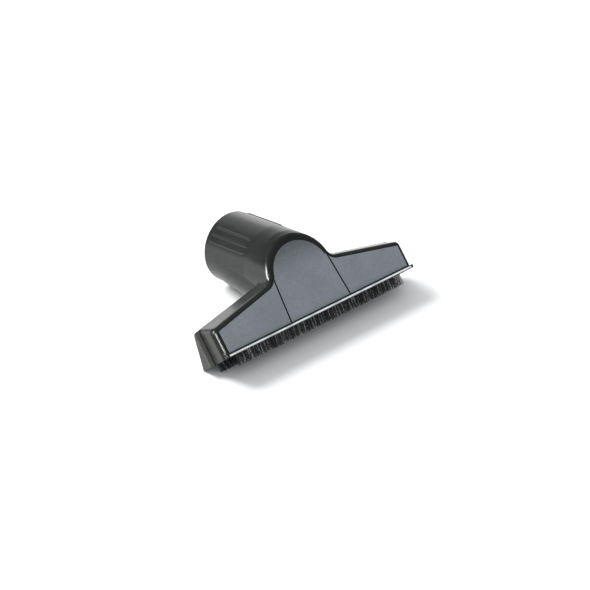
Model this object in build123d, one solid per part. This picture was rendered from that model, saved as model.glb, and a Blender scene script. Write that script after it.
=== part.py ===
from build123d import *
import math
import os

os.makedirs("parts", exist_ok=True)

# Sizes in millimetres and degrees. The part is drawn with its slot facing down and its flat face
# to the front, then laid on its back at the end.

# Tube and socket
socket_bore_r = 17.6
socket_depth = 30.0
tube_wall = 2.4
stop_ledge = 0.8
tube_angle = 32.0
tube_length = 62.8
axis_height = 22.7
mouth_bevel = 0.8
mouth_chamfer = 0.8

# Arch of the front face, running into the tube
arch_widening = 1.6
arch_rise = 22.6
neck_length = 27.0

# Head
end_half = 65.4
end_height = 16.25
shoulder_slope = 0.211
roof_rise = 0.254
rear_depth = 23.5
rear_lean = 0.405
wall = 2.2
face_round = 3.0
armpit_round = 4.5

# Rear flange at both ends
flange_step = 2.8
flange_top_depth = 1.1576
flange_corner = 2.0
flange_round = 0.5

# Lip along the foot of the front face
lip_forward = 1.2
lip_height = 1.9
lip_round = 0.55

# Two fine grooves down the face
groove_spread = 2.1
groove_top = 27.5
groove_width = 0.9
groove_depth = 0.45

# Flare under the tube
flare_start = 12.0
flare_stop = 52.0
flare_start_swell = 0.4
flare_start_drop = 8.0
flare_stop_swell = 0.3
flare_stop_drop = 0.8

# Grip ribs on both sides of the tube
rib_angles = (32.0, 43.5, 56.5)
rib_start = 29.5
rib_length = 28.5
rib_r = 0.9
rib_proud = 0.45
rib_tip_r = 0.5

# Brush strips and the channels that hold them
strip_width = 3.0
strip_height = 3.4
strip_recess = 0.6
front_strip_gap = 7.4
rear_strip_gap = 2.8
channel_wall = 1.0
channel_roof = 1.0
channel_lip_drop = 2.2

# Bristle tufts
tuft_root_r = 1.05
tuft_tip_r = 1.3
tuft_sides = 6
front_tuft_drop = 5.2
rear_tuft_drop = 5.4
rear_tuft_lean = 1.6
front_tufts = 31
rear_tufts = 33
tuft_margin = 2.0

angle = math.radians(tube_angle)
along = Vector(0, math.cos(angle), math.sin(angle))
tube_up = Vector(0, -math.sin(angle), math.cos(angle))
tube_r = socket_bore_r + tube_wall
duct_r = socket_bore_r - stop_ledge
arch_half = tube_r + arch_widening
flange_half = end_half + flange_step
flange_roof = end_height - flange_step * shoulder_slope
flange_front = (rear_depth - rear_lean * flange_roof) / (1 + rear_lean * roof_rise) - flange_top_depth
far = 200.0
upward = (Align.CENTER, Align.CENTER, Align.MIN)


def on_axis(u, lift=0.0):
    return Vector(0, 0, axis_height) + along * u + tube_up * lift


def tube_plane(u, lift=0.0):
    return Plane(origin=on_axis(u, lift), x_dir=tube_up * -1, z_dir=along)


def prism(points, way):
    return Solid.extrude(Face(Wire.make_polygon([Vector(*p) for p in points])), Vector(*way))


def block(x0, x1, y0, y1, z0, z1):
    return Pos((x0 + x1) / 2, (y0 + y1) / 2, (z0 + z1) / 2) * Box(x1 - x0, y1 - y0, z1 - z0)


def roof(x, y):
    return end_height + (end_half - abs(x)) * shoulder_slope + y * roof_rise


def rear(z, inset=0.0):
    return rear_depth - rear_lean * z - inset * math.hypot(1, rear_lean)


# A length of the head under its sloping roof, from depth y0 back to the leaning rear wall
def head_shape(half, y0, inset, foot):
    drop = inset * math.sqrt(1 + shoulder_slope**2 + roof_rise**2)
    tops = [(half, roof(half, y0) - drop), (0, roof(0, y0) - drop), (-half, roof(half, y0) - drop)]
    front = [(-half, y0, -far), (half, y0, -far)] + [(x, y0, z) for x, z in tops]
    peak = (rear(0, inset) - y0) / rear_lean
    side = prism([(-far, y0, foot), (-far, rear(foot, inset), foot), (-far, y0, peak)], (2 * far, 0, 0))
    return prism(front, (0, far, far * roof_rise)) & side


# Arch and head, with hollow curves where the arch meets the shoulders and a rounded border
face_plane = Plane(origin=(0, 0, axis_height), x_dir=(0, 0, -1), z_dir=(0, 1, 0))
neck = loft([face_plane * Ellipse(arch_rise, arch_half), tube_plane(neck_length) * Circle(tube_r)])
neck = neck & block(-far, far, -far, far, lip_height + wall / 2, far)
outer = head_shape(end_half, 0, 0, 0) + neck
pits = [e for e in outer.edges() if abs(abs(e.center().X) - arch_half) < face_round
        and 1 < e.center().Y < flange_front and e.center().Z > end_height]
outer = fillet(pits, armpit_round)
rim = [e for e in outer.edges() if abs(e.center().Y) < 0.01 and e.center().Z > 0.5]
ends = [e for e in outer.edges() if abs(abs(e.center().X) - end_half) < 0.01
        and e.center().Y > 1 and e.center().Z > end_height]
outer = fillet(rim + ends, face_round)

# Flange at the rear of both ends
flange = head_shape(flange_half, flange_front, 0, 0)
corners = [e for e in flange.edges() if abs(abs(e.center().X) - flange_half) < 0.01
           and e.center().Z > end_height and abs(e.tangent_at(0.5).Y) > 0.9]
flange = fillet(corners, flange_corner)
sides = [e for e in flange.edges() if abs(abs(e.center().X) - flange_half) < flange_corner
         and abs(e.tangent_at(0.5).X) < 0.9 and abs(e.tangent_at(0.5).Y) < 0.7]
flange = fillet(sides, flange_round)
outer = outer + flange

# Tube with its flare underneath
pipe = tube_plane(neck_length) * Cylinder(tube_r, tube_length - neck_length, align=upward)
pipe = chamfer(pipe.edges().filter_by(GeomType.CIRCLE).sort_by(Axis(on_axis(0), along))[-1], mouth_bevel)
flare = loft([tube_plane(flare_start, -flare_start_drop) * Circle(tube_r + flare_start_swell),
              tube_plane(flare_stop, -flare_stop_drop) * Circle(tube_r + flare_stop_swell)])
behind = prism([(-far, rear(-far, wall / 2), -far), (-far, far, -far), (-far, far, far),
                (-far, rear(far, wall / 2), far)], (2 * far, 0, 0))
outer = outer + pipe + (flare & behind)

# Grip ribs with tapered ends
for side in (-1, 1):
    for turn in rib_angles:
        reach = tube_r + rib_proud - rib_r
        start = on_axis(rib_start, reach * math.sin(math.radians(turn)))
        start = start + Vector(side * reach * math.cos(math.radians(turn)), 0, 0)
        rod = Cylinder(rib_r, rib_length, align=upward)
        rod = rod + Pos(0, 0, rib_length) * Cone(rib_r, rib_tip_r, rib_r, align=upward)
        rod = rod + Pos(0, 0, -rib_r) * Cone(rib_tip_r, rib_r, rib_r, align=upward)
        outer = outer + Plane(origin=start, z_dir=along) * rod

# Hollow of the head, the duct and the socket
cavity = head_shape(end_half - wall, wall, wall, -far)
side_cavity = head_shape(flange_half - wall, flange_front + wall, wall, -far)
duct = tube_plane(-far / 4) * Cylinder(duct_r, far / 4 + tube_length, align=upward)
duct = duct & block(-far, far, wall, far, wall, far)
socket = tube_plane(tube_length - socket_depth) * Cylinder(socket_bore_r, far, align=upward)
body = outer - cavity - side_cavity - duct - socket
mouth_in = [e for e in body.edges().filter_by(GeomType.CIRCLE)
            if abs(e.radius - socket_bore_r) < 0.01 and (e.arc_center - on_axis(tube_length)).length < 0.1]
body = chamfer(mouth_in, mouth_chamfer)

# Lip along the foot of the face
lip = block(-end_half, end_half, -lip_forward, wall, 0, lip_height)
lip = fillet([e for e in lip.edges() if e.center().Y < -lip_forward + 0.01], lip_round)
body = body + lip

# Channels for the two brush strips, reaching into the walls around them
inner_bounds = head_shape(end_half - wall / 2, wall / 2, wall / 2, 0)
inner_bounds = inner_bounds + head_shape(flange_half - wall / 2, flange_front + wall / 2, wall / 2, 0)
strip_top = strip_recess + strip_height
channel_foot = strip_top - channel_lip_drop
front_lip = wall + strip_width
rear_seat = rear(strip_top, wall)
rear_lip = rear_seat - strip_width
roof_block = block(-far, far, wall / 2, front_lip + channel_wall, strip_top, strip_top + channel_roof)
channels = roof_block + block(-far, far, front_lip, front_lip + channel_wall, channel_foot, strip_top)
roof_block = block(-far, far, rear_lip - channel_wall, rear_seat + wall / 2, strip_top, strip_top + channel_roof)
channels = channels + roof_block
channels = channels + block(-far, far, rear_lip - channel_wall, rear_lip, channel_foot, strip_top)
body = body + (channels & inner_bounds)

# Fine grooves from the arch to the lip
for side in (-1, 1):
    top = side * (arch_half - face_round)
    half = groove_width / 2
    notch = [(top - half, -0.01, groove_top), (top + half, -0.01, groove_top), (top, groove_depth, groove_top)]
    body = body - prism(notch, (side * groove_spread, 0, lip_height - groove_top))


# A strip, and the row of tufts standing out of its underside
def strip(half, y0):
    return block(-half, half, y0, y0 + strip_width, strip_recess, strip_top)


def tuft_row(count, half, y0, drop, lean=0.0):
    reach = half - tuft_margin
    root = Pos(0, lean, drop + strip_recess) * RegularPolygon(tuft_root_r, tuft_sides)
    tuft = loft([RegularPolygon(tuft_tip_r, tuft_sides), root], ruled=True)
    spots = [-reach + 2 * reach * i / (count - 1) for i in range(count)]
    return [Pos(x, y0 + strip_width / 2 - lean, -drop) * tuft for x in spots]


front_half = end_half - front_strip_gap
rear_half = end_half - rear_strip_gap
front_row = tuft_row(front_tufts, front_half, wall, front_tuft_drop)
rear_row = tuft_row(rear_tufts, rear_half, rear_lip, rear_tuft_drop, rear_tuft_lean)

# Lay the part on its back, on the foot of the rear wall and the low side of the mouth
low_rim = on_axis(tube_length, -tube_r)
lie = math.degrees(math.atan2(low_rim.Z, low_rim.Y - rear_depth))
boxes = [s.rotate(Axis.X, -lie).bounding_box() for s in [body] + front_row + rear_row]
middle = (min(b.min.Y for b in boxes) + max(b.max.Y for b in boxes)) / 2
shift = Pos(0, -middle, -min(b.min.Z for b in boxes))


def laid(shape):
    return shift * shape.rotate(Axis.X, -lie)


export_step(laid(body), "parts/nozzle_body.step")
export_step(laid(strip(front_half, wall)), "parts/front_brush_strip.step")
export_step(laid(strip(rear_half, rear_lip)), "parts/rear_brush_strip.step")
export_step(Compound(children=[laid(t) for t in front_row]), "parts/front_bristle_tufts.step")
export_step(Compound(children=[laid(t) for t in rear_row]), "parts/rear_bristle_tufts.step")
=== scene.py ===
import math
import bpy
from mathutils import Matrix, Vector


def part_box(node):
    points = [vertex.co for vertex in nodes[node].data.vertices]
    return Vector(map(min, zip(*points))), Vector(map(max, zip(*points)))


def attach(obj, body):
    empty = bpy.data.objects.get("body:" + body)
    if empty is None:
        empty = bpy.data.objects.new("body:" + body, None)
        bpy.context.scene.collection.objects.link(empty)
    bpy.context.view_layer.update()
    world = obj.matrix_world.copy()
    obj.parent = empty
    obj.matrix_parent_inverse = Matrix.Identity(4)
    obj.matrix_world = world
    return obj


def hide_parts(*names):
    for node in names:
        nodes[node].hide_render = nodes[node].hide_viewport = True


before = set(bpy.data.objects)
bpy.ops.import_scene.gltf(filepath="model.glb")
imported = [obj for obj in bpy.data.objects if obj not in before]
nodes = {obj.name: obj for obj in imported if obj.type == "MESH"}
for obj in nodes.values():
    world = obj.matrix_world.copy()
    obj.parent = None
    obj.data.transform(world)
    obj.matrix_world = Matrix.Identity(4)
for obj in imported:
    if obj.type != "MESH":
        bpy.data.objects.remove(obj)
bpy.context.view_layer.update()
mm = 0.001
scene = bpy.context.scene

# The nozzle's own frame: its flat face stands upright and its slot faces down
lay = {
    "turn": 44.034,           # degrees it is tipped onto its back
    "stripDepth": 2.2 * mm,   # front strip's near side behind the face
    "stripRecess": 0.6 * mm,  # front strip's underside above the slot
    "stripWidth": 3.0 * mm,
}
turn = math.radians(lay["turn"])
sideWay = Vector((1, 0, 0))
backWay = Vector((0, math.cos(turn), -math.sin(turn)))
upWay = Vector((0, math.sin(turn), math.cos(turn)))
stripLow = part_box("front_brush_strip")[0]
nearEdge = backWay * lay["stripDepth"] + upWay * lay["stripRecess"]
farEdge = nearEdge + backWay * lay["stripWidth"]
slotOrigin = Vector((0, stripLow.y - nearEdge.y, stripLow.z - farEdge.z))
print("slot frame at", tuple(round(v / mm, 3) for v in slotOrigin))

black = (0, 0, 0, 1)
white = (1, 1, 1, 1)


# Shader helpers
def feed(tree, socket, value):
    if isinstance(value, bpy.types.NodeSocket):
        tree.links.new(value, socket)
    else:
        socket.default_value = value


def calc(tree, operation, a, b=0.0):
    node = tree.nodes.new("ShaderNodeMath")
    node.operation = operation
    feed(tree, node.inputs[0], a)
    feed(tree, node.inputs[1], b)
    return node.outputs[0]


def times(tree, *values):
    product = values[0]
    for value in values[1:]:
        product = calc(tree, "MULTIPLY", product, value)
    return product


def highest(tree, *values):
    top = values[0]
    for value in values[1:]:
        top = calc(tree, "MAXIMUM", top, value)
    return top


def outside(tree, share):
    return calc(tree, "SUBTRACT", 1.0, share)


def ramp(tree, value, low, high, start=0.0, stop=1.0):
    node = tree.nodes.new("ShaderNodeMapRange")
    node.interpolation_type = "SMOOTHSTEP"
    feed(tree, node.inputs["Value"], value)
    node.inputs["From Min"].default_value = low
    node.inputs["From Max"].default_value = high
    node.inputs["To Min"].default_value = start
    node.inputs["To Max"].default_value = stop
    return node.outputs["Result"]


def within(tree, value, low, high, fade):
    return times(tree, ramp(tree, value, low - fade, low), ramp(tree, value, high + fade, high))


def noise(tree, where, scale, detail, rough):
    node = tree.nodes.new("ShaderNodeTexNoise")
    feed(tree, node.inputs["Vector"], where)
    node.inputs["Scale"].default_value = scale
    node.inputs["Detail"].default_value = detail
    node.inputs["Roughness"].default_value = rough
    return node.outputs["Fac"]


def mixColour(tree, share, a, b):
    node = tree.nodes.new("ShaderNodeMix")
    node.data_type = "RGBA"
    feed(tree, node.inputs["Factor"], share)
    feed(tree, node.inputs[6], a)
    feed(tree, node.inputs[7], b)
    return node.outputs[2]


def mixVector(tree, share, a, b):
    node = tree.nodes.new("ShaderNodeMix")
    node.data_type = "VECTOR"
    feed(tree, node.inputs[0], share)
    feed(tree, node.inputs[4], a)
    feed(tree, node.inputs[5], b)
    return node.outputs[1]


def mixValue(tree, share, a, b):
    node = tree.nodes.new("ShaderNodeMix")
    feed(tree, node.inputs["Factor"], share)
    feed(tree, node.inputs["A"], a)
    feed(tree, node.inputs["B"], b)
    return node.outputs[0]


def along(tree, where, way, origin=(0, 0, 0)):
    shift = tree.nodes.new("ShaderNodeVectorMath")
    shift.operation = "SUBTRACT"
    feed(tree, shift.inputs[0], where)
    shift.inputs[1].default_value = origin
    dot = tree.nodes.new("ShaderNodeVectorMath")
    dot.operation = "DOT_PRODUCT"
    tree.links.new(shift.outputs[0], dot.inputs[0])
    dot.inputs[1].default_value = way
    return dot.outputs["Value"]


def bump(tree, height, strength, distance, under=None):
    node = tree.nodes.new("ShaderNodeBump")
    feed(tree, node.inputs["Height"], height)
    feed(tree, node.inputs["Strength"], strength)
    node.inputs["Distance"].default_value = distance
    if under is not None:
        tree.links.new(under, node.inputs["Normal"])
    return node.outputs["Normal"]


def shade(colour, factor):
    return tuple(v * factor for v in colour[:3]) + (1,)


def mottle(tree, share, colour, factors):
    return mixColour(tree, share, shade(colour, factors[0]), shade(colour, factors[1]))


def freshMaterial(name):
    material = bpy.data.materials.new(name)
    material.use_nodes = True
    tree = material.node_tree
    return material, tree, tree.nodes["Principled BSDF"]


# Black moulded plastic: grained on the flat face, smooth on the border, the tube and the ends.
# Depths run back from the face, heights up from the slot and sides out from the middle.
# A band is from, to and its fade. A ramp is from, to and, where it isn't 0 to 1, its value at each.
plastic = {
    "skin": 0.012 * mm,                              # what lies this close to a plane is on it
    "fineFade": 0.1 * mm,
    "facingRamp": (0.98, 0.995),                     # how squarely a place looks forward
    "clouds": {"scale": 55, "detail": 4.0, "rough": 0.6},

    "smooth": (0.0165, 0.0182, 0.0168, 1),
    "smoothMottle": (0.93, 1.08),
    "smoothCloudRamp": (0.35, 0.65),
    "smoothRoughRamp": (0.3, 0.7, 0.22, 0.27),       # over the clouds
    "smoothGloss": 0.25,
    "dullGloss": 0.02,
    "fineNoise": {"scale": 900, "detail": 2.0, "rough": 0.5},
    "fineBump": 0.025,
    "fineDepth": 0.02 * mm,

    # painted sheen: the grained face is painted far paler than the black plastic, standing in for the light
    # its rough surface scatters; its mottle and speckle are the grain's own
    "grained": (0.240, 0.263, 0.285, 1),
    "grainedRough": 0.58,
    "grain": {"scale": 1 / (0.32 * mm), "detail": 3.0, "rough": 0.6},
    "grainRamp": (0.3, 0.7),
    "grainMottle": (0.82, 1.18),
    "grainBump": 0.55,
    "grainDepth": 0.05 * mm,
    "speckle": {"scale": 1 / (1.3 * mm), "detail": 2.0, "rough": 0.5},
    "speckleRamp": (0.35, 0.65, 0.0, 0.3),
    "speckleShade": 0.68,
    "grainedCloudRamp": (0.4, 0.7, 0.0, 0.4),
    "grainedCloudShade": 0.72,
    "archPaintedShadeRamp": (24 * mm, 43 * mm, 0.0, 0.54),  # painted shade: the grain is painted darker towards the top of the arch
    "footRamp": (2.2 * mm, 2.45 * mm),               # smooth line between the lip and the grain
    "archRadius": 17.9 * mm,                         # edge of the grain in the arch
    "archMiddle": 23.4 * mm,
    "archStart": 27.5 * mm,
    "grooveTop": 27.5 * mm,
    "grooveDepth": 0.6 * mm,
    "grooveSide": (17.5 * mm, 21.5 * mm, 0.1 * mm),

    "borderSoft": 2.4 * mm,                          # broader look of the rounded border
    "borderSamples": 8,
    "borderRamp": (9 * mm, 4.5 * mm),
    "archBand": (2.2 * mm, 4.6 * mm, 0.6 * mm),      # dull band behind the border of the arch
    "archBandRamp": (35 * mm, 40 * mm, 0.0, 0.85),
    "endBand": (1.8 * mm, 3.9 * mm, 0.5 * mm),       # the same beside the face's upright ends
    "endBandRamp": (64.0 * mm, 64.6 * mm, 0.0, 0.85),

    "endPaintedReflection": (0.043, 0.044, 0.040, 1),             # painted reflection: the end walls are painted a little paler, standing in for the bright floor they reflect
    "endMottle": (0.9, 1.0),
    "endSideRamp": (64.0 * mm, 65.0 * mm),
    "endDepthRamp": (4.2 * mm, 5.0 * mm),
    "seamBand": (13.0 * mm, 14.4 * mm, 0.4 * mm),    # corner where an end wall meets the flange, kept out of the painted reflection and dulled
    "seamRamp": (65.9 * mm, 65.6 * mm, 0.0, 0.9),
    "flangePaintedReflection": (0.125, 0.127, 0.117, 1),          # painted reflection: the flange's narrow front is painted pale
    "flangeDepth": 14.4 * mm,
    "farDepthRamp": (12.4 * mm, 13.4 * mm),          # dull flange at the far end
    "farSideRamp": (60 * mm, 62 * mm),

    # painted highlight: a pale line along the lip's crest, broken up by noise
    "lipPaintedHighlight": (0.86, 0.87, 0.88, 1),
    "lipHighlightBreak": {"scale": 180, "detail": 3.0, "rough": 0.6},
    "lipHighlightBreakRamp": (0.25, 0.6, 0.6, 1.0),
    "lipBand": (0.45 * mm, 1.30 * mm, 0.1 * mm),     # height of the painted highlight on the lip
    "lipFrontRamp": (-0.65 * mm, -0.75 * mm),        # the painted highlight starts this far in front of the face
    "lipEndRamp": (64.0 * mm, 63.4 * mm),            # and stops short of the lip's ends
}


def plasticPlaces(tree, coords):
    where = coords.outputs["Object"]
    across = along(tree, where, sideWay)
    aside = calc(tree, "ABSOLUTE", across)
    depth = along(tree, where, backWay, slotOrigin)
    height = along(tree, where, upWay, slotOrigin)
    forward = ramp(tree, along(tree, coords.outputs["Normal"], backWay * -1), *plastic["facingRamp"])
    skin = plastic["skin"]
    fine = plastic["fineFade"]
    radius = plastic["archRadius"]
    flange = plastic["flangeDepth"]

    # grained face, inside the arch and above the lip, with its two grooves
    rise = calc(tree, "SUBTRACT", height, plastic["archMiddle"])
    reach = calc(tree, "SQRT", calc(tree, "ADD", times(tree, aside, aside), times(tree, rise, rise)))
    inArch = highest(tree, ramp(tree, reach, radius + fine, radius),
                     ramp(tree, height, plastic["archStart"], plastic["archStart"] - skin))
    face = times(tree, forward, within(tree, depth, -fine, 0.0, skin), inArch,
                 ramp(tree, height, *plastic["footRamp"]))
    groove = times(tree, within(tree, aside, *plastic["grooveSide"]),
                   within(tree, depth, skin, plastic["grooveDepth"], skin),
                   ramp(tree, height, plastic["grooveTop"] + skin, plastic["grooveTop"]))

    # end walls, their corners and the front of the flange, where reflections are painted
    atEnd = ramp(tree, aside, *plastic["endSideRamp"])
    seam = times(tree, within(tree, depth, *plastic["seamBand"]), ramp(tree, aside, *plastic["seamRamp"]))
    endWall = times(tree, atEnd, ramp(tree, depth, *plastic["endDepthRamp"]), outside(tree, seam))
    flangeFront = times(tree, forward, within(tree, depth, flange - skin, flange + skin, skin))

    # dull places: grooves, the far flange, beside the border and in the corners
    farEnd = times(tree, ramp(tree, depth, *plastic["farDepthRamp"]),
                   ramp(tree, across, *plastic["farSideRamp"]))
    archBand = times(tree, within(tree, depth, *plastic["archBand"]),
                     ramp(tree, height, *plastic["archBandRamp"]))
    endBand = times(tree, within(tree, depth, *plastic["endBand"]),
                    ramp(tree, aside, *plastic["endBandRamp"]))
    dull = highest(tree, groove, farEnd, archBand, endBand, times(tree, seam, atEnd))

    # painted highlight along the crest of the lip, and the rounded border
    lipHighlightBreak = noise(tree, where, **plastic["lipHighlightBreak"])
    lipHighlightMask = times(tree, within(tree, height, *plastic["lipBand"]),
                  ramp(tree, depth, *plastic["lipFrontRamp"]),
                  ramp(tree, lipHighlightBreak, *plastic["lipHighlightBreakRamp"]),
                  ramp(tree, aside, *plastic["lipEndRamp"]))
    border = times(tree, ramp(tree, depth, *plastic["borderRamp"]), outside(tree, face))
    return {"height": height, "face": face, "endWall": endWall, "flangeFront": flangeFront,
            "dull": dull, "lipHighlightMask": lipHighlightMask, "border": border}


def grainedSheenAndShade(tree, where, height, clouds, grain):
    grained = plastic["grained"]
    speckle = noise(tree, where, **plastic["speckle"])
    tone = mottle(tree, ramp(tree, grain, *plastic["grainRamp"]), grained, plastic["grainMottle"])
    tone = mixColour(tree, ramp(tree, speckle, *plastic["speckleRamp"]), tone,
                     shade(grained, plastic["speckleShade"]))
    tone = mixColour(tree, ramp(tree, clouds, *plastic["grainedCloudRamp"]), tone,
                     shade(grained, plastic["grainedCloudShade"]))
    # painted shade, darker towards the top of the arch
    return mixColour(tree, ramp(tree, height, *plastic["archPaintedShadeRamp"]), tone, black)


def mouldedPlastic():
    material, tree, shader = freshMaterial("mouldedPlastic")
    coords = tree.nodes.new("ShaderNodeTexCoord")
    where = coords.outputs["Object"]
    place = plasticPlaces(tree, coords)
    face = place["face"]
    grain = noise(tree, where, **plastic["grain"])
    clouds = noise(tree, where, **plastic["clouds"])

    smoothClouds = ramp(tree, clouds, *plastic["smoothCloudRamp"])
    tone = mottle(tree, smoothClouds, plastic["smooth"], plastic["smoothMottle"])
    # the grained face: painted sheen and painted shade over the grain's own mottle
    tone = mixColour(tree, face, tone, grainedSheenAndShade(tree, where, place["height"], clouds, grain))
    # painted reflection: the end walls painted paler
    endPaintedReflection = mottle(tree, clouds, plastic["endPaintedReflection"], plastic["endMottle"])
    tone = mixColour(tree, place["endWall"], tone, endPaintedReflection)
    # painted reflection: the flange's narrow front painted pale
    tone = mixColour(tree, place["flangeFront"], tone, plastic["flangePaintedReflection"])
    # painted highlight along the lip's crest
    feed(tree, shader.inputs["Base Color"], mixColour(tree, place["lipHighlightMask"], tone, plastic["lipPaintedHighlight"]))

    gloss = mixValue(tree, place["dull"], plastic["smoothGloss"], plastic["dullGloss"])
    feed(tree, shader.inputs["Specular IOR Level"], gloss)
    smoothRough = ramp(tree, clouds, *plastic["smoothRoughRamp"])
    feed(tree, shader.inputs["Roughness"], mixValue(tree, face, smoothRough, plastic["grainedRough"]))

    # the border round the face looks broader and softer than a plain rounding
    soft = tree.nodes.new("ShaderNodeBevel")
    soft.samples = plastic["borderSamples"]
    soft.inputs["Radius"].default_value = plastic["borderSoft"]
    plain = tree.nodes.new("ShaderNodeNewGeometry").outputs["Normal"]
    surface = mixVector(tree, place["border"], plain, soft.outputs["Normal"])
    surface = bump(tree, times(tree, grain, face), plastic["grainBump"], plastic["grainDepth"], surface)
    fineNoise = noise(tree, where, **plastic["fineNoise"])
    surface = bump(tree, fineNoise, plastic["fineBump"], plastic["fineDepth"], surface)
    feed(tree, shader.inputs["Normal"], surface)
    return material


# Strip plastic: matt, with a faint run of the extrusion along its length
backing = {
    "tone": (0.02, 0.02, 0.021, 1),
    "mottle": (0.7, 1.0),
    "roughRamp": (0.3, 0.7, 0.5, 0.6),
    "stretch": (40, 1500, 1500),  # long along the strip, fine across it
    "run": {"scale": 1.0, "detail": 2.0, "rough": 0.5},
    "runBump": 0.3,
    "runDepth": 0.05 * mm,
}


def stripPlastic():
    material, tree, shader = freshMaterial("stripPlastic")
    where = tree.nodes.new("ShaderNodeTexCoord").outputs["Object"]
    streaks = tree.nodes.new("ShaderNodeMapping")
    tree.links.new(where, streaks.inputs["Vector"])
    streaks.inputs["Scale"].default_value = backing["stretch"]
    run = noise(tree, streaks.outputs["Vector"], **backing["run"])
    feed(tree, shader.inputs["Base Color"], mottle(tree, run, backing["tone"], backing["mottle"]))
    feed(tree, shader.inputs["Roughness"], ramp(tree, run, *backing["roughRamp"]))
    feed(tree, shader.inputs["Normal"], bump(tree, run, backing["runBump"], backing["runDepth"]))
    return material


# Bristles: dark glossy filaments, a few of them catching the light
filament = {
    "tone": (0.028, 0.031, 0.032, 1),
    "mottle": (0.5, 1.8),
    "mottleRamp": (0.3, 0.7),
    "bright": (0.85, 0.86, 0.87, 1),
    "brightRamp": (0.35, 0.6, 0.2, 1.0),
    "roughRamp": (0.2, 0.8, 0.24, 0.40),
    "vary": {"scale": 1400, "detail": 1.0, "rough": 0.5},
}


def bristleHair():
    material, tree, shader = freshMaterial("bristleHair")
    where = tree.nodes.new("ShaderNodeTexCoord").outputs["Object"]
    vary = noise(tree, where, **filament["vary"])
    catch = tree.nodes.new("ShaderNodeAttribute")
    catch.attribute_name = "glint"
    tone = mottle(tree, ramp(tree, vary, *filament["mottleRamp"]), filament["tone"], filament["mottle"])
    lit = times(tree, catch.outputs["Fac"], ramp(tree, vary, *filament["brightRamp"]))
    feed(tree, shader.inputs["Base Color"], mixColour(tree, lit, tone, filament["bright"]))
    feed(tree, shader.inputs["Roughness"], ramp(tree, vary, *filament["roughRamp"]))
    return material


bodyMaterial = mouldedPlastic()
stripMaterial = stripPlastic()
hairMaterial = bristleHair()


def dress(name, material):
    mesh = nodes[name].data
    mesh.materials.clear()
    mesh.materials.append(material)


dress("nozzle_body", bodyMaterial)
dress("front_brush_strip", stripMaterial)
dress("rear_brush_strip", stripMaterial)
print("plastics on the body and the strips")

# Bristle rows: filaments in tufts, standing out of the underside of their strip
brush = {
    "filaments": 46,              # in each tuft
    "filamentRadius": 0.10 * mm,
    "filamentSides": 5,
    "taper": 0.8,                 # radius of the tip, as a share of the root's
    "tuftRadius": 1.0 * mm,
    "stretch": 1.65,              # of a tuft, along its row
    "lean": 4.0,                  # degrees, at random
    "shortest": 0.86,
    "glint": 0.13,                # share of the filaments that catch the light
}
rows = {
    "front": {"tufts": 31, "half": 56.0 * mm, "depth": 3.7 * mm, "length": 6.95 * mm,
              "sweep": 15.0, "seed": 4},
    "rear": {"tufts": 33, "half": 60.6 * mm, "depth": 18.0 * mm, "length": 5.7 * mm,
             "sweep": -15.0, "seed": 9},
}


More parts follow.
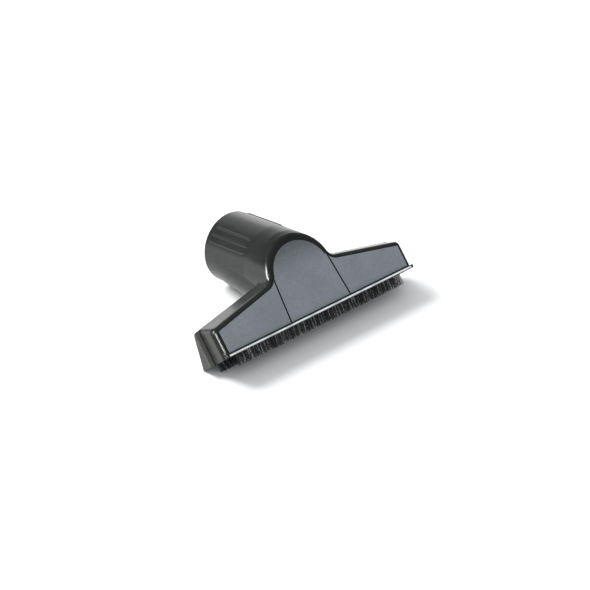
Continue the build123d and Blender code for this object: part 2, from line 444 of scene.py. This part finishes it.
def bristleTree():
    tree = bpy.data.node_groups.new("bristleRow", "GeometryNodeTree")
    sockets = {
        "NodeSocketInt": ("Tufts", "Filaments", "Filament Sides", "Seed"),
        "NodeSocketFloat": ("Half", "Depth", "Root", "Length", "Shortest", "Tuft Radius", "Stretch",
                            "Filament Radius", "Taper", "Lean", "Sweep", "Glint"),
        "NodeSocketVector": ("Turn", "Place"),
        "NodeSocketMaterial": ("Material",),
    }
    for kind, names in sockets.items():
        for name in names:
            tree.interface.new_socket(name, in_out="INPUT", socket_type=kind)
    tree.interface.new_socket("Geometry", in_out="OUTPUT", socket_type="NodeSocketGeometry")
    given = tree.nodes.new("NodeGroupInput").outputs
    result = tree.nodes.new("NodeGroupOutput")

    # each draw adds its own number to the row's seed
    def chance(low, high, draw):
        node = tree.nodes.new("FunctionNodeRandomValue")
        node.data_type = "FLOAT"
        feed(tree, node.inputs[2], low)
        feed(tree, node.inputs[3], high)
        feed(tree, node.inputs["Seed"], calc(tree, "ADD", given["Seed"], draw))
        return node.outputs[1]

    def vector(x, y, z):
        node = tree.nodes.new("ShaderNodeCombineXYZ")
        for socket, value in zip(node.inputs, (x, y, z)):
            feed(tree, socket, value)
        return node.outputs[0]

    # one point for each filament, gathered round its tuft's root
    points = tree.nodes.new("GeometryNodePoints")
    feed(tree, points.inputs["Count"], times(tree, given["Tufts"], given["Filaments"]))
    index = tree.nodes.new("GeometryNodeInputIndex").outputs[0]
    tuft = calc(tree, "FLOOR", calc(tree, "DIVIDE", index, given["Filaments"]))
    gaps = calc(tree, "SUBTRACT", given["Tufts"], 1.0)
    step = calc(tree, "DIVIDE", times(tree, given["Half"], 2.0), gaps)
    middle = calc(tree, "SUBTRACT", times(tree, tuft, step), given["Half"])
    swing = chance(0.0, 2 * math.pi, 1)
    away = times(tree, calc(tree, "SQRT", chance(0.0, 1.0, 2)), given["Tuft Radius"])
    aside = times(tree, away, calc(tree, "COSINE", swing), given["Stretch"])
    behind = times(tree, away, calc(tree, "SINE", swing))
    rootX = calc(tree, "ADD", middle, aside)
    rootY = calc(tree, "ADD", given["Depth"], behind)
    feed(tree, points.inputs["Position"], vector(rootX, rootY, given["Root"]))

    catch = tree.nodes.new("GeometryNodeStoreNamedAttribute")
    catch.data_type = "FLOAT"
    catch.inputs["Name"].default_value = "glint"
    tree.links.new(points.outputs[0], catch.inputs["Geometry"])
    feed(tree, catch.inputs["Value"], calc(tree, "LESS_THAN", chance(0.0, 1.0, 6), given["Glint"]))

    # a slim hair that points down and splays out from the middle of its tuft
    hair = tree.nodes.new("GeometryNodeMeshCone")
    hair.fill_type = "NGON"
    feed(tree, hair.inputs["Vertices"], given["Filament Sides"])
    feed(tree, hair.inputs["Radius Top"], given["Filament Radius"])
    feed(tree, hair.inputs["Radius Bottom"], times(tree, given["Filament Radius"], given["Taper"]))
    feed(tree, hair.inputs["Depth"], given["Length"])
    hang = tree.nodes.new("GeometryNodeTransform")
    tree.links.new(hair.outputs["Mesh"], hang.inputs["Geometry"])
    feed(tree, hang.inputs["Translation"], vector(0.0, 0.0, times(tree, given["Length"], -1.0)))
    splay = calc(tree, "DIVIDE", given["Lean"], given["Tuft Radius"])
    swayX = times(tree, given["Lean"], chance(-0.5, 0.5, 3))
    tiltX = calc(tree, "ADD", times(tree, behind, splay), swayX)
    tiltX = calc(tree, "ADD", tiltX, given["Sweep"])
    swayY = times(tree, given["Lean"], chance(-0.5, 0.5, 4))
    tiltY = calc(tree, "ADD", times(tree, aside, splay, -1.0), swayY)
    stand = tree.nodes.new("GeometryNodeInstanceOnPoints")
    tree.links.new(catch.outputs[0], stand.inputs["Points"])
    tree.links.new(hang.outputs[0], stand.inputs["Instance"])
    feed(tree, stand.inputs["Rotation"], vector(tiltX, tiltY, 0.0))
    feed(tree, stand.inputs["Scale"], vector(1.0, 1.0, chance(given["Shortest"], 1.0, 5)))

    # lay the row over with the part
    layDown = tree.nodes.new("GeometryNodeTransform")
    tree.links.new(stand.outputs[0], layDown.inputs["Geometry"])
    feed(tree, layDown.inputs["Rotation"], given["Turn"])
    feed(tree, layDown.inputs["Translation"], given["Place"])
    real = tree.nodes.new("GeometryNodeRealizeInstances")
    tree.links.new(layDown.outputs[0], real.inputs[0])
    paint = tree.nodes.new("GeometryNodeSetMaterial")
    tree.links.new(real.outputs[0], paint.inputs["Geometry"])
    feed(tree, paint.inputs["Material"], given["Material"])
    tree.links.new(paint.outputs[0], result.inputs[0])
    return tree


rowTree = bristleTree()


def bristleRow(name, row, replaced):
    carrier = bpy.data.objects.new(name + "Carrier", bpy.data.meshes.new(name + "Carrier"))
    scene.collection.objects.link(carrier)
    modifier = carrier.modifiers.new("row", "NODES")
    modifier.node_group = rowTree
    values = {"Tufts": row["tufts"], "Filaments": brush["filaments"], "Half": row["half"],
              "Depth": row["depth"], "Root": lay["stripRecess"], "Length": row["length"],
              "Shortest": brush["shortest"], "Tuft Radius": brush["tuftRadius"], "Stretch": brush["stretch"],
              "Filament Radius": brush["filamentRadius"], "Filament Sides": brush["filamentSides"],
              "Taper": brush["taper"], "Lean": math.radians(brush["lean"]),
              "Sweep": math.radians(row["sweep"]), "Glint": brush["glint"], "Seed": row["seed"],
              "Turn": (-turn, 0.0, 0.0), "Place": tuple(slotOrigin), "Material": hairMaterial}
    for item in rowTree.interface.items_tree:
        if item.in_out == "INPUT":
            modifier[item.identifier] = values[item.name]
    evaluated = carrier.evaluated_get(bpy.context.evaluated_depsgraph_get())
    shape = bpy.data.meshes.new_from_object(evaluated)
    bpy.data.objects.remove(carrier)
    shape.name = name
    piece = bpy.data.objects.new(name, shape)
    scene.collection.objects.link(piece)
    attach(piece, "root")
    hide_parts(replaced)
    return piece


for side in rows:
    made = bristleRow(side + "Bristles", rows[side], side + "_bristle_tufts")
    print(made.name, len(made.data.polygons), "faces")

# White paper under the part
paper = {"size": 6.0, "tone": (0.93, 0.93, 0.93, 1), "rough": 0.9, "gloss": 0.1}


def paperFloor():
    half = paper["size"] / 2
    corners = [(-half, -half, 0), (half, -half, 0), (half, half, 0), (-half, half, 0)]
    mesh = bpy.data.meshes.new("paperFloor")
    mesh.from_pydata(corners, [], [(0, 1, 2, 3)])
    floor = bpy.data.objects.new("paperFloor", mesh)
    scene.collection.objects.link(floor)
    material, tree, shader = freshMaterial("whitePaper")
    feed(tree, shader.inputs["Base Color"], paper["tone"])
    feed(tree, shader.inputs["Roughness"], paper["rough"])
    feed(tree, shader.inputs["Specular IOR Level"], paper["gloss"])
    mesh.materials.append(material)


paperFloor()

# Soft light from the upper left and behind, strip lights for the edges and a white surround
studio = {
    "surround": (0.715, 0.731, 0.747, 1),  # on matt surfaces
    "mirrored": (0.150, 0.150, 0.144, 1),  # in glossy reflections
    "lamps": {
        "keySoftbox": {"at": (-0.48, 0.95, 1.0), "size": (0.75, 0.75), "watts": 28.0,
                       "lights": True, "mirrored": False},
        "edgeStrip": {"at": (-1.10, -0.47, 0.50), "size": (0.12, 0.60), "watts": 26.0,
                      "lights": False, "mirrored": True},
        "archStrip": {"at": (-1.00, 0.40, 0.40), "size": (0.34, 0.66), "watts": 46.0,
                      "lights": False, "mirrored": True},
        "backStrip": {"at": (0.85, 1.35, 0.15), "size": (1.5, 0.40), "watts": 3.5,
                      "lights": True, "mirrored": True},
        "backGlow": {"at": (0.58, 1.40, 0.58), "size": (1.1, 0.62), "watts": 2.0,
                     "lights": False, "mirrored": True},
    },
}


def softbox(name, lamp):
    light = bpy.data.lights.new(name, "AREA")
    light.shape = "RECTANGLE"
    light.size, light.size_y = lamp["size"]
    light.energy = lamp["watts"]
    thing = bpy.data.objects.new(name, light)
    thing.location = lamp["at"]
    thing.rotation_euler = (-Vector(lamp["at"])).to_track_quat("-Z", "Y").to_euler()
    thing.visible_diffuse = lamp["lights"]
    thing.visible_glossy = lamp["mirrored"]
    scene.collection.objects.link(thing)


def whiteSurround():
    world = bpy.data.worlds.new("studio")
    world.use_nodes = True
    tree = world.node_tree
    path = tree.nodes.new("ShaderNodeLightPath")
    colour = mixColour(tree, path.outputs["Is Glossy Ray"], studio["surround"], studio["mirrored"])
    colour = mixColour(tree, path.outputs["Is Camera Ray"], colour, white)
    feed(tree, tree.nodes["Background"].inputs["Color"], colour)
    scene.world = world


for name, lamp in studio["lamps"].items():
    softbox(name, lamp)
whiteSurround()
scene.view_settings.view_transform = "Standard"
print("floor and light")

# Camera over the left front corner
shot = {
    "azimuth": -40.259,
    "elevation": 34.754,
    "distance": 1.0308,
    "target": (2.34 * mm, -13.68 * mm, 12.24 * mm),
    "lens": 115.93,
    "sensor": 36,
}


def photoCamera():
    data = bpy.data.cameras.new("photoCamera")
    data.lens = shot["lens"]
    data.sensor_width = shot["sensor"]
    camera = bpy.data.objects.new("photoCamera", data)
    azimuth = math.radians(shot["azimuth"])
    elevation = math.radians(shot["elevation"])
    level = math.cos(elevation)
    back = Vector((math.sin(azimuth) * level, -math.cos(azimuth) * level, math.sin(elevation)))
    camera.location = Vector(shot["target"]) + back * shot["distance"]
    camera.rotation_euler = (-back).to_track_quat("-Z", "Y").to_euler()
    scene.collection.objects.link(camera)
    scene.camera = camera


photoCamera()
print("camera set")
